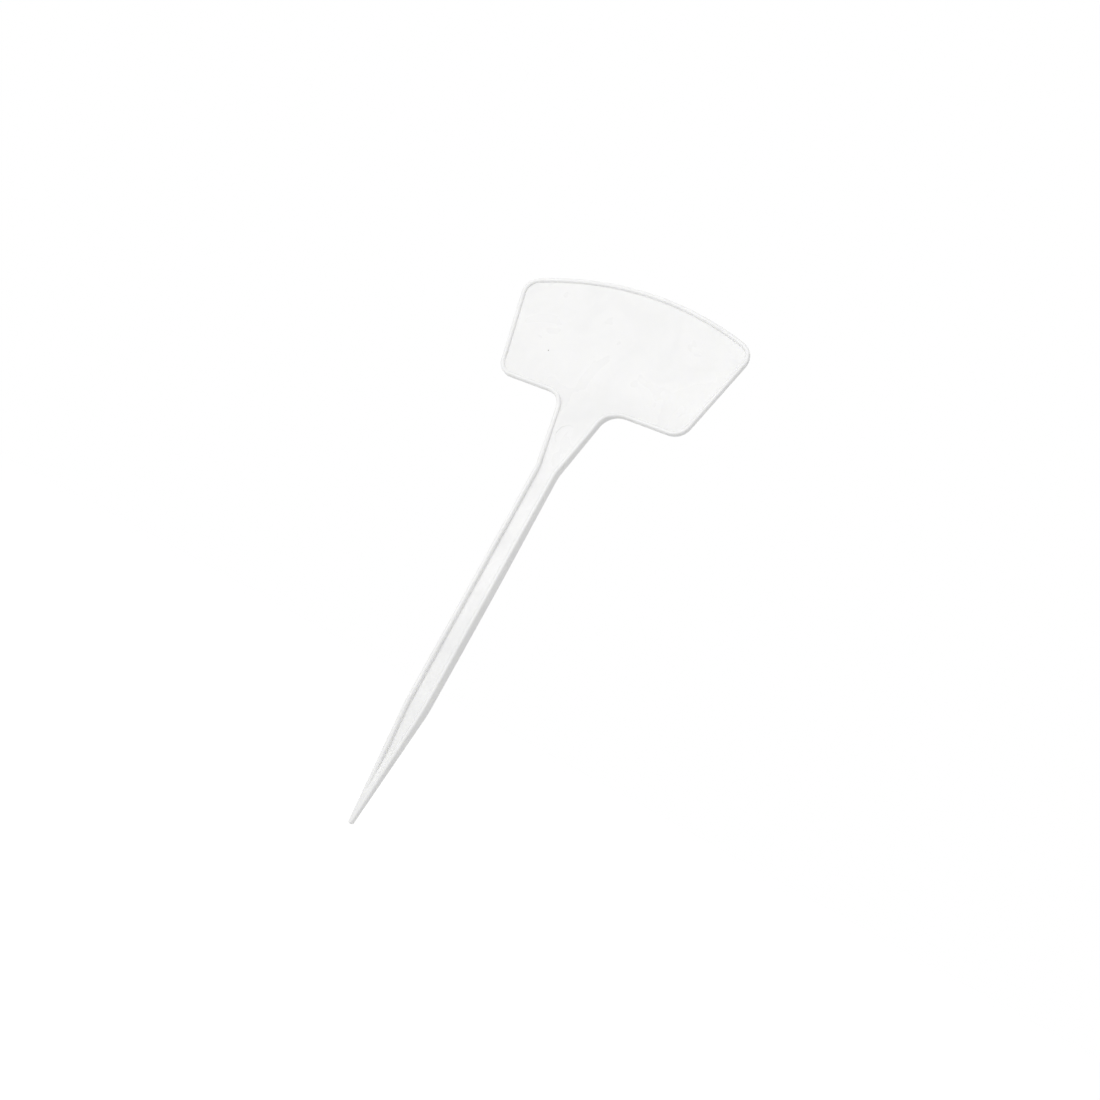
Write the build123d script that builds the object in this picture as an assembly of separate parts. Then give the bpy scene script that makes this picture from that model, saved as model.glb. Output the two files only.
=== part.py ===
from build123d import *
import os
from math import cos, radians, sin, sqrt, tan

# Plant label stake: one white moulding with a fan-shaped writing panel, a tapering neck, a channelled
# shaft and a pointed spike. It stands upright: the origin is the end of the tip, +Z runs up the stake,
# +X is its width, and the recessed front faces -Y. Lengths are in millimetres, angles in degrees.

# Heights along the stake
overall_length = 250.0
panel_height = 56.5
neck_length = 33.5
spike_length = 50.5

# Widths and roundings of the outline
panel_base_width = 90.6
panel_flare = 14.3
crown_radius = 148.6
panel_corner_radius = 7.7
neck_root_width = 24.0
neck_fillet_radius = 8.7
shaft_top_width = 10.25
shaft_foot_width = 9.75
shaft_blend_radius = 15.0
spike_blend_radius = 60.0
tip_width = 1.8
tip_round_radius = 0.85

# Thicknesses, front to back. The back swells into a belly near the middle of the shaft. The neck's rim
# tapers from its foot, stays high to its root and drops to the panel's rim over a short ramp.
panel_thickness = 2.7
neck_root_thickness = 3.85
neck_taper_length = 19.0
root_ramp_length = 2.8
shaft_top_thickness = 4.75
belly_thickness = 5.65
belly_lead = 8.0
belly_place_share = 0.54
shaft_foot_thickness = 5.3
tip_thickness = 2.3
back_edge_radius = 0.3

# How far each soft bend of the side view reaches to either side along its lines
side_blend_reach = 2.5
belly_blend_reach = 9.0
root_blend_reach = 0.8

# The rounded rim and the recess inside it
rim_width = 1.8
rim_outer_radius = 0.85
rim_inner_radius = 0.9
panel_floor = 1.35
shaft_floor = 2.65
floor_ramp_below = 11.5
floor_ramp_above = 10.5
channel_rise_height = 30.0
channel_end_height = 12.5
channel_end_radius = 0.15

# The round mark that an ejector pin leaves in the neck's floor
pin_mark_diameter = 9.6
pin_mark_depth = 0.2
pin_mark_rise = 17.0

# How far a trimming body passes the faces that it trims, and how closely a corner or an edge is matched
overrun = 2.0
tolerance = 0.01
middle_share = 0.5
facing_share = 0.9

panel_base = overall_length - panel_height
neck_foot = panel_base - neck_length
front = -tip_thickness / 2
back = front + shaft_top_thickness
belly_top = neck_foot - belly_lead
belly_height = spike_length + (neck_foot - spike_length) * belly_place_share
belly_back = front + belly_thickness
foot_back = front + shaft_foot_thickness
panel_front = back - panel_thickness
root_front = back - neck_root_thickness
bevel_slope = (foot_back + front) / spike_length
ramp_ends = [(root_front, panel_base - root_ramp_length), (panel_front, panel_base)]


def crown_corner():
    """Where a flared side of the panel would meet the crown's arc if it weren't rounded."""
    run_x, run_z = sin(radians(panel_flare)), cos(radians(panel_flare))
    start_x = panel_base_width / 2
    start_z = panel_base - (overall_length - crown_radius)
    along = start_x * run_x + start_z * run_z
    beyond = start_x**2 + start_z**2 - crown_radius**2
    reach = sqrt(along**2 - beyond) - along
    return start_x + reach * run_x, panel_base + reach * run_z


def rounded(face, place, radius):
    """The face with its corners at this half width and height rounded, on the left and the right."""
    corners = [v for v in face.vertices() if (Vector(abs(v.X), v.Y) - Vector(*place)).length < tolerance]
    return fillet(corners, radius)


def stake_outline():
    """The front view of the stake, as a face with X across and Y for the height."""
    tip = (tip_width / 2, 0)
    spike = (shaft_foot_width / 2, spike_length)
    shaft = (shaft_top_width / 2, neck_foot)
    neck = (neck_root_width / 2, panel_base)
    base = (panel_base_width / 2, panel_base)
    corner = crown_corner()
    right = [tip, spike, shaft, neck, base, corner]
    left = [(-x, z) for x, z in right]
    crown = ThreePointArc(corner, (0, overall_length), left[-1])
    face = make_face(Polyline(*reversed(left), *right) + crown)
    face = rounded(face, tip, tip_round_radius)
    face = rounded(face, spike, spike_blend_radius)
    face = rounded(face, shaft, shaft_blend_radius)
    face = rounded(face, neck, neck_fillet_radius)
    face = rounded(face, base, panel_corner_radius)
    return rounded(face, corner, panel_corner_radius)


def standing(face):
    """A prism on a front view that passes the front and the back of the stake."""
    return extrude(Plane.XZ * face, belly_thickness + overrun, both=True)


def bend_radius(before, bend, after):
    """The radius of an arc that starts one reach before a bend of the side view and ends one after it."""
    if bend in ramp_ends:
        reach = root_blend_reach
    elif bend[0] == belly_back or bend[1] == belly_top:
        reach = belly_blend_reach
    else:
        reach = side_blend_reach
    turn = (Vector(*bend) - Vector(*before)).get_angle(Vector(*after) - Vector(*bend))
    return reach / tan(radians(turn / 2))


def side_slab(front_line):
    """A slab across the whole width, from a front line of (y, z) points to the back of the stake.

    The back is flat behind the panel and the neck, swells into the belly, and bevels towards the
    front in the spike. Every bend of the two lines is softened.
    """
    head, foot = front_line[-1][1], front_line[0][1]
    end_back = foot_back + (foot - spike_length) * bevel_slope
    back_line = [
        (back, head),
        (back, belly_top),
        (belly_back, belly_height),
        (foot_back, spike_length),
        (end_back, foot),
    ]
    face = make_face(Polyline(*front_line, *back_line, close=True))
    for line in (front_line, back_line):
        for before, bend, after in zip(line, line[1:], line[2:]):
            corner = [v for v in face.vertices() if (v.center() - Vector(*bend)).length < tolerance]
            face = fillet(corner, bend_radius(before, bend, after))
    return extrude(Plane.YZ * face, panel_base_width, both=True)


def skirt(solid, side, outline):
    """The edges between a front view's walls and the surfaces of the front (-1) or the back (1)."""
    faces = [f for f in solid.faces() if side * f.normal_at(f.center()).Y > facing_share]
    edges = [e for f in faces for e in f.edges()]
    border = outline.wire()
    found = []
    for edge in edges:
        middle = edge.position_at(middle_share)
        reach = border.distance_to(Vertex(middle.X, middle.Z, 0))
        if edges.count(edge) == 1 and reach < tolerance:
            found.append(edge)
    return found


def rim_frame(outline, inside):
    """The stake with its recess cut right through, and with every edge of the rim rounded."""
    crest_line = [
        (front, -overrun),
        (front, neck_foot),
        (root_front, neck_foot + neck_taper_length),
        *ramp_ends,
        (panel_front, overall_length + overrun),
    ]
    solid = standing(outline) & side_slab(crest_line)
    solid = fillet(skirt(solid, -1, outline), rim_outer_radius)
    solid = fillet(skirt(solid, 1, outline), back_edge_radius)
    solid -= standing(inside)
    return fillet(skirt(solid, -1, inside), rim_inner_radius)


def recess_floor(seat):
    """The floor of the recess, which reaches into the rim.

    It is level in the panel, drops over a long ramp to the neck, and climbs to the rim's crest in the
    spike.
    """
    floor_line = [
        (front, channel_end_height),
        (back - shaft_floor, channel_rise_height),
        (back - shaft_floor, panel_base - floor_ramp_below),
        (back - panel_floor, panel_base + floor_ramp_above),
        (back - panel_floor, overall_length + overrun),
    ]
    return standing(seat) & side_slab(floor_line)


def pin_mark():
    """The shallow disc that the ejector pin leaves in the neck's floor."""
    level = back - shaft_floor
    place = Plane.XZ.offset(-level - pin_mark_depth) * Pos(0, neck_foot + pin_mark_rise)
    return extrude(place * Circle(pin_mark_diameter / 2), pin_mark_depth + overrun)


outline = stake_outline()
inside = offset(outline, -rim_width, kind=Kind.INTERSECTION)
inside = fillet(inside.vertices().sort_by(Axis.Y)[0], channel_end_radius)
seat = offset(outline, -rim_width / 2, kind=Kind.INTERSECTION)
stake = rim_frame(outline, inside) + recess_floor(seat) - pin_mark()

os.makedirs("parts", exist_ok=True)
export_step(stake, "parts/label_stake.step")
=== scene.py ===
from math import cos, radians, sin

import bpy
from bpy.props import FloatProperty, FloatVectorProperty, PointerProperty
from bpy.types import Operator, Panel, PropertyGroup
from mathutils import Matrix, Vector


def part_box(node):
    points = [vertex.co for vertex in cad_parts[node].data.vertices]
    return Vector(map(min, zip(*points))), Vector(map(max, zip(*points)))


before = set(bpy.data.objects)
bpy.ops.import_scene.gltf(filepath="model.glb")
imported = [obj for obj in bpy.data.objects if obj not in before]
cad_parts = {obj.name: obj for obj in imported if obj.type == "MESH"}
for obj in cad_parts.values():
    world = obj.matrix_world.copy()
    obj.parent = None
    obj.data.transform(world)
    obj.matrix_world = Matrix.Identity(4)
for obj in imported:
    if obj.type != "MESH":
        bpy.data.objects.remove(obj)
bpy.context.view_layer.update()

bl_info = {
    "name": "Plant Label Stake",
    "version": (1, 0, 0),
    "blender": (4, 5, 0),
    "location": "View3D > Sidebar > Plant Label",
    "description": "Dresses the moulded plant label in white plastic and sets it on a plain white stage",
    "category": "Object",
}

LABEL_NODE = "label_stake"
MM = 0.001
WHITE = (1.0, 1.0, 1.0)

# What a noise reads where a mark starts to show and where it shows fully
CLOUD_SPAN = (0.42, 0.66)
GLOSS_SPAN = (0.3, 0.7)
RUBBING_SPAN = (0.5, 0.72)
SMUDGE_SPAN = (0.5, 0.85)

# How closely the bevelled normal follows the face's own, on a flat and on an edge
EDGE_SPAN = (0.995, 0.9)
EDGE_SAMPLES = 6

# How far from its middle the speck starts and stops fading, as shares of its diameter
SPECK_CORE_SHARE = 0.3
SPECK_RIM_SHARE = 0.6

# How far the roughness goes below and above its mean, and what a full handling mark adds
GLOSSIER = 0.08
DULLER = 0.1
HANDLING_ROUGHNESS = 0.3

PLASTIC_IOR = 1.49
SUBSURFACE_TINT = (1.0, 1.0, 0.95)


def colour_setting(name, description, default):
    return FloatVectorProperty(
        name=name,
        description=description,
        subtype="COLOR",
        size=3,
        min=0.0,
        max=1.0,
        default=default,
    )


def share_setting(name, description, default):
    return FloatProperty(
        name=name,
        description=description,
        subtype="FACTOR",
        min=0.0,
        max=1.0,
        default=default,
    )


def strength_setting(name, description, default):
    return FloatProperty(name=name, description=description, min=0.0, default=default)


def length_setting(name, description, default):
    return FloatProperty(
        name=name,
        description=description,
        subtype="DISTANCE",
        unit="LENGTH",
        default=default,
    )


def angle_setting(name, description, degrees):
    return FloatProperty(
        name=name,
        description=description,
        subtype="ANGLE",
        unit="ROTATION",
        default=radians(degrees),
    )


def place_setting(name, description, default):
    return FloatVectorProperty(
        name=name,
        description=description,
        subtype="TRANSLATION",
        unit="LENGTH",
        size=3,
        default=default,
    )


class WhitePlasticLook(PropertyGroup):
    """Colour, gloss and surface marks of the white polypropylene."""

    colour: colour_setting("Plastic colour", "Colour of the clean moulding", (0.9, 0.9, 0.897))
    shade_colour: colour_setting(
        "Blush colour", "Colour of the slightly greyer cloudy areas", (0.875, 0.876, 0.874)
    )
    handling_colour: colour_setting(
        "Handling colour", "Colour of the faint grey rubbed marks", (0.72, 0.715, 0.7)
    )
    speck_colour: colour_setting("Speck colour", "Colour of the dark speck", (0.25, 0.24, 0.22))
    gloss_roughness: share_setting("Roughness", "Mean roughness of the satin surface", 0.32)
    glow_share: share_setting("Glow share", "Share of the light that goes under the surface", 0.5)
    glow_reach: length_setting("Glow reach", "How far that light goes under the surface", 1.0 * MM)
    cloud_size: length_setting("Cloud size", "Size of the cloudy areas in the colour", 22 * MM)
    rubbing_size: length_setting("Rubbing size", "Size of the rubbed stretches along the edges", 5 * MM)
    rubbing_strength: share_setting("Rubbing strength", "How strongly the rubbed edges show", 0.08)
    edge_reach: length_setting("Edge reach", "How far rubbing reaches from an edge", 0.4 * MM)
    smudge_size: length_setting("Smudge size", "Size of the faint smudges from handling", 9 * MM)
    smudge_strength: share_setting("Smudge strength", "How strongly the smudges would show at most", 0.08)
    warp_size: length_setting(
        "Warp size", "Distance between the soft hollows that cooling leaves in the surface", 16 * MM
    )
    warp_depth: length_setting("Warp depth", "Depth of the soft hollows", 0.05 * MM)
    grain_size: length_setting("Grain size", "Size of the fine grain that the mould leaves", 0.35 * MM)
    grain_depth: length_setting("Grain depth", "Depth of the fine grain", 0.004 * MM)
    speck_size: length_setting("Speck size", "Diameter of the dark speck in the panel's floor", 0.6 * MM)
    speck_place: place_setting(
        "Speck place",
        "Where the dark speck lies in the panel's floor",
        (-28.5 * MM, 2.25 * MM, 210.6 * MM),
    )


class StageSetting(PropertyGroup):
    """Floor, light and camera of the plain white stage."""

    floor_width: length_setting("Floor width", "Side of the square floor", 8.0)
    floor_colour: colour_setting("Floor colour", "Colour of the matt floor", (0.9, 0.9, 0.9))
    floor_lift: strength_setting(
        "Floor lift", "How much the floor shines where it is seen, besides what it reflects", 0.433
    )
    sky_fill: strength_setting("Sky fill", "Strength of the even light from all round", 0.63)
    key_power: FloatProperty(
        name="Key power",
        description="Power of the large soft lamp in front",
        subtype="POWER",
        unit="POWER",
        default=4.4,
    )
    key_width: length_setting("Key width", "Width of the soft lamp", 0.9)
    key_height: length_setting("Key height", "Height of the soft lamp", 0.6)
    key_place: place_setting(
        "Key place", "Where the middle of the soft lamp hangs; it faces straight back", (-0.14, -1.0, 0.32)
    )
    key_roll: angle_setting(
        "Key roll", "Turn of the soft lamp in its own plane, which lifts its right end", 35.0
    )
    camera_place: place_setting(
        "Camera place", "Where the camera stands", (186.70 * MM, -359.54 * MM, 64.87 * MM)
    )
    camera_azimuth: angle_setting(
        "Azimuth", "Turn of the camera round the stake, from straight in front towards +X", 25.0
    )
    camera_elevation: angle_setting("Elevation", "Tilt of the view; below zero the camera looks up", -9.342)
    camera_roll: angle_setting("Roll", "Turn of the camera about its own line of sight", 28.608)
    camera_lens: FloatProperty(
        name="Lens",
        description="Focal length on a 36 mm sensor",
        subtype="DISTANCE_CAMERA",
        unit="CAMERA",
        default=32.93,
    )


def feed(tree, socket, value):
    """Links an input to a socket, or sets it to a plain value."""
    if isinstance(value, bpy.types.NodeSocket):
        tree.links.new(value, socket)
    else:
        socket.default_value = value


def add_node(tree, kind, inputs=None, **settings):
    """Adds a shader node with its settings, and feeds the inputs that are named or numbered."""
    made = tree.nodes.new(kind)
    for name, value in settings.items():
        setattr(made, name, value)
    for key, value in (inputs or {}).items():
        feed(tree, made.inputs[key], value)
    return made


def opaque(colour):
    return (*colour, 1.0)


def noise(tree, place, size, detail=2.0, roughness=0.5, distortion=0.0):
    """Soft three-dimensional noise whose features are about one size across, in metres."""
    inputs = {
        "Vector": place,
        "Scale": 1.0 / size,
        "Detail": detail,
        "Roughness": roughness,
        "Distortion": distortion,
    }
    return add_node(tree, "ShaderNodeTexNoise", inputs).outputs["Fac"]


def remap(tree, value, span, low=0.0, high=1.0):
    """Takes a value's span smoothly from low to high, and holds it outside the span."""
    start, end = span
    inputs = {
        "Value": value,
        "From Min": start,
        "From Max": end,
        "To Min": low,
        "To Max": high,
    }
    made = add_node(tree, "ShaderNodeMapRange", inputs, interpolation_type="SMOOTHSTEP")
    return made.outputs["Result"]


def blend(tree, share, first, second):
    """Mixes two colours by a share of the second."""
    made = add_node(tree, "ShaderNodeMix", data_type="RGBA")
    colours = [socket for socket in made.inputs if socket.type == "RGBA"]
    for socket, value in zip((made.inputs[0], *colours), (share, first, second)):
        feed(tree, socket, value)
    return next(socket for socket in made.outputs if socket.type == "RGBA")


def combine(tree, first, second, operation="MULTIPLY"):
    """One sum on two values."""
    inputs = {0: first, 1: second}
    return add_node(tree, "ShaderNodeMath", inputs, operation=operation).outputs["Value"]


def compare(tree, first, second, operation):
    """One sum on two vectors that gives a value."""
    inputs = {0: first, 1: second}
    return add_node(tree, "ShaderNodeVectorMath", inputs, operation=operation).outputs["Value"]


def bump(tree, height, depth, inputs=None):
    """The normal over a relief of this depth."""
    inputs = {"Height": height, "Distance": depth, "Strength": 1.0, **(inputs or {})}
    return add_node(tree, "ShaderNodeBump", inputs).outputs["Normal"]


def edge_mask(tree, reach):
    """One on the edges of the moulding and zero on its flats, from how far the bevelled normal leans."""
    bevelled = add_node(tree, "ShaderNodeBevel", {"Radius": reach}, samples=EDGE_SAMPLES).outputs["Normal"]
    facing = add_node(tree, "ShaderNodeNewGeometry").outputs["Normal"]
    return remap(tree, compare(tree, bevelled, facing, "DOT_PRODUCT"), EDGE_SPAN)


def handling_marks(tree, place, look):
    """How strongly each spot is marked by handling: rubbed edges and faint smudges."""
    rubbing = noise(tree, place, look.rubbing_size, detail=5.0, roughness=0.65)
    rubbing = remap(tree, rubbing, RUBBING_SPAN, high=look.rubbing_strength)
    rubbed_edges = combine(tree, edge_mask(tree, look.edge_reach), rubbing)
    smudges = remap(tree, noise(tree, place, look.smudge_size), SMUDGE_SPAN, high=look.smudge_strength)
    return combine(tree, rubbed_edges, smudges, "MAXIMUM")


def speck_mask(tree, place, look):
    """One in the dark speck and zero outside it."""
    away = compare(tree, place, tuple(look.speck_place), "DISTANCE")
    span = (SPECK_CORE_SHARE * look.speck_size, SPECK_RIM_SHARE * look.speck_size)
    return remap(tree, away, span, low=1.0, high=0.0)


def white_plastic(look):
    """Satin white polypropylene, as it comes from the mould and after some handling."""
    material = bpy.data.materials.new("white_polypropylene")
    material.use_nodes = True
    tree = material.node_tree
    surface = tree.nodes["Principled BSDF"].inputs
    place = add_node(tree, "ShaderNodeTexCoord").outputs["Object"]

    clouds = noise(tree, place, look.cloud_size, detail=3.0, roughness=0.55, distortion=0.6)
    shade = remap(tree, clouds, CLOUD_SPAN)
    handled = handling_marks(tree, place, look)
    colour = blend(tree, shade, opaque(look.colour), opaque(look.shade_colour))
    colour = blend(tree, handled, colour, opaque(look.handling_colour))
    colour = blend(tree, speck_mask(tree, place, look), colour, opaque(look.speck_colour))
    feed(tree, surface["Base Color"], colour)

    glossy, dull = look.gloss_roughness - GLOSSIER, look.gloss_roughness + DULLER
    roughness = remap(tree, clouds, GLOSS_SPAN, glossy, dull)
    added = combine(tree, handled, HANDLING_ROUGHNESS)
    feed(tree, surface["Roughness"], combine(tree, roughness, added, "ADD"))
    feed(tree, surface["IOR"], PLASTIC_IOR)
    feed(tree, surface["Subsurface Weight"], look.glow_share)
    feed(tree, surface["Subsurface Radius"], SUBSURFACE_TINT)
    feed(tree, surface["Subsurface Scale"], look.glow_reach)

    warp = noise(tree, place, look.warp_size, detail=1.0)
    grain = noise(tree, place, look.grain_size, detail=3.0, roughness=0.6)
    warped = bump(tree, warp, look.warp_depth)
    feed(tree, surface["Normal"], bump(tree, grain, look.grain_depth, {"Normal": warped}))
    return material


def seen_directly(tree):
    """One for rays from the camera and those that gloss or glass sends on, zero for light that bounces."""
    path = add_node(tree, "ShaderNodeLightPath").outputs
    direct = combine(tree, path["Is Camera Ray"], path["Is Glossy Ray"], "MAXIMUM")
    return combine(tree, direct, path["Is Transmission Ray"], "MAXIMUM")


def white_floor(stage):
    """A matt white floor that shines a little where it is seen, so that only a shadow shows on it."""
    material = bpy.data.materials.new("white_floor")
    material.use_nodes = True
    tree = material.node_tree
    tree.nodes.clear()
    matt = add_node(tree, "ShaderNodeBsdfDiffuse", {"Color": opaque(stage.floor_colour)})
    lift = combine(tree, seen_directly(tree), stage.floor_lift)
    shine = add_node(tree, "ShaderNodeEmission", {"Color": opaque(WHITE), "Strength": lift})
    inputs = {0: matt.outputs["BSDF"], 1: shine.outputs["Emission"]}
    both = add_node(tree, "ShaderNodeAddShader", inputs)
    add_node(tree, "ShaderNodeOutputMaterial", {"Surface": both.outputs["Shader"]})
    return material


def build_floor(stage):
    """The plain white floor, level with the end of the tip."""
    half = stage.floor_width / 2
    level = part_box(LABEL_NODE)[0][2]
    corners = [(-half, -half, level), (half, -half, level), (half, half, level), (-half, half, level)]
    mesh = bpy.data.meshes.new("stage_floor")
    mesh.from_pydata(corners, [], [(0, 1, 2, 3)])
    floor = bpy.data.objects.new("stage_floor", mesh)
    bpy.context.scene.collection.objects.link(floor)
    mesh.materials.append(white_floor(stage))


def build_sky(stage):
    """White where it is seen directly, and a softer even light on the object."""
    world = bpy.data.worlds.new("white_sky")
    bpy.context.scene.world = world
    world.use_nodes = True
    tree = world.node_tree
    backdrop = tree.nodes["Background"].inputs
    inputs = {"Value": seen_directly(tree), "To Min": stage.sky_fill, "To Max": 1.0}
    strength = add_node(tree, "ShaderNodeMapRange", inputs).outputs["Result"]
    feed(tree, backdrop["Color"], opaque(WHITE))
    feed(tree, backdrop["Strength"], strength)


def build_key(stage):
    """The large soft lamp in front of the stake."""
    light = bpy.data.lights.new("key_lamp", "AREA")
    light.shape = "RECTANGLE"
    light.size = stage.key_width
    light.size_y = stage.key_height
    light.energy = stage.key_power
    lamp = bpy.data.objects.new("key_lamp", light)
    lamp.location = stage.key_place
    lamp.rotation_euler = (radians(90.0), -stage.key_roll, 0.0)
    bpy.context.scene.collection.objects.link(lamp)


def build_camera(stage):
    """The camera, with its line of sight set by azimuth, elevation and roll."""
    azimuth, elevation, roll = stage.camera_azimuth, stage.camera_elevation, stage.camera_roll
    level_right = Vector((cos(azimuth), sin(azimuth), 0.0))
    level_up = Vector((-sin(elevation) * sin(azimuth), sin(elevation) * cos(azimuth), cos(elevation)))
    right = cos(roll) * level_right + sin(roll) * level_up
    up = cos(roll) * level_up - sin(roll) * level_right
    back = right.cross(up)
    turn = Matrix((right, up, back)).transposed()
    data = bpy.data.cameras.new("photo_camera")
    data.lens = stage.camera_lens
    camera = bpy.data.objects.new("photo_camera", data)
    camera.matrix_world = Matrix.Translation(stage.camera_place) @ turn.to_4x4()
    bpy.context.scene.collection.objects.link(camera)
    bpy.context.scene.camera = camera


class PLANTLABEL_OT_dress(Operator):
    """Gives the moulded label its white plastic"""

    bl_idname = "plantlabel.dress"
    bl_label = "Dress the Label"

    def execute(self, context):
        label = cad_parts.get(LABEL_NODE)
        if label is None:
            raise RuntimeError("the packed model has no label to dress")
        material = white_plastic(context.scene.white_plastic_look)
        for slot in label.material_slots:
            slot.material = material
        return {"FINISHED"}


class PLANTLABEL_OT_stage(Operator):
    """Builds the white floor, the lights and the camera"""

    bl_idname = "plantlabel.stage"
    bl_label = "Set the Stage"

    def execute(self, context):
        stage = context.scene.plant_label_stage
        build_floor(stage)
        build_sky(stage)
        build_key(stage)
        build_camera(stage)
        context.scene.view_settings.view_transform = "Standard"
        return {"FINISHED"}


class PLANTLABEL_PT_panel(Panel):
    """Lists the steps and their settings"""

    bl_idname = "PLANTLABEL_PT_panel"
    bl_label = "Plant Label Stake"
    bl_space_type = "VIEW_3D"
    bl_region_type = "UI"
    bl_category = "Plant Label"

    def draw(self, context):
        layout = self.layout
        for settings, step in (
            (context.scene.white_plastic_look, PLANTLABEL_OT_dress),
            (context.scene.plant_label_stage, PLANTLABEL_OT_stage),
        ):
            box = layout.box()
            for name in type(settings).__annotations__:
                box.prop(settings, name)
            box.operator(step.bl_idname)


CLASSES = (
    WhitePlasticLook,
    StageSetting,
    PLANTLABEL_OT_dress,
    PLANTLABEL_OT_stage,
    PLANTLABEL_PT_panel,
)


def register():
    for entry in CLASSES:
        bpy.utils.register_class(entry)
    bpy.types.Scene.white_plastic_look = PointerProperty(type=WhitePlasticLook)
    bpy.types.Scene.plant_label_stage = PointerProperty(type=StageSetting)


def unregister():
    del bpy.types.Scene.plant_label_stage
    del bpy.types.Scene.white_plastic_look
    for entry in reversed(CLASSES):
        bpy.utils.unregister_class(entry)


def main():
    register()
    bpy.ops.plantlabel.dress()
    bpy.ops.plantlabel.stage()


if __name__ == "__main__":
    main()
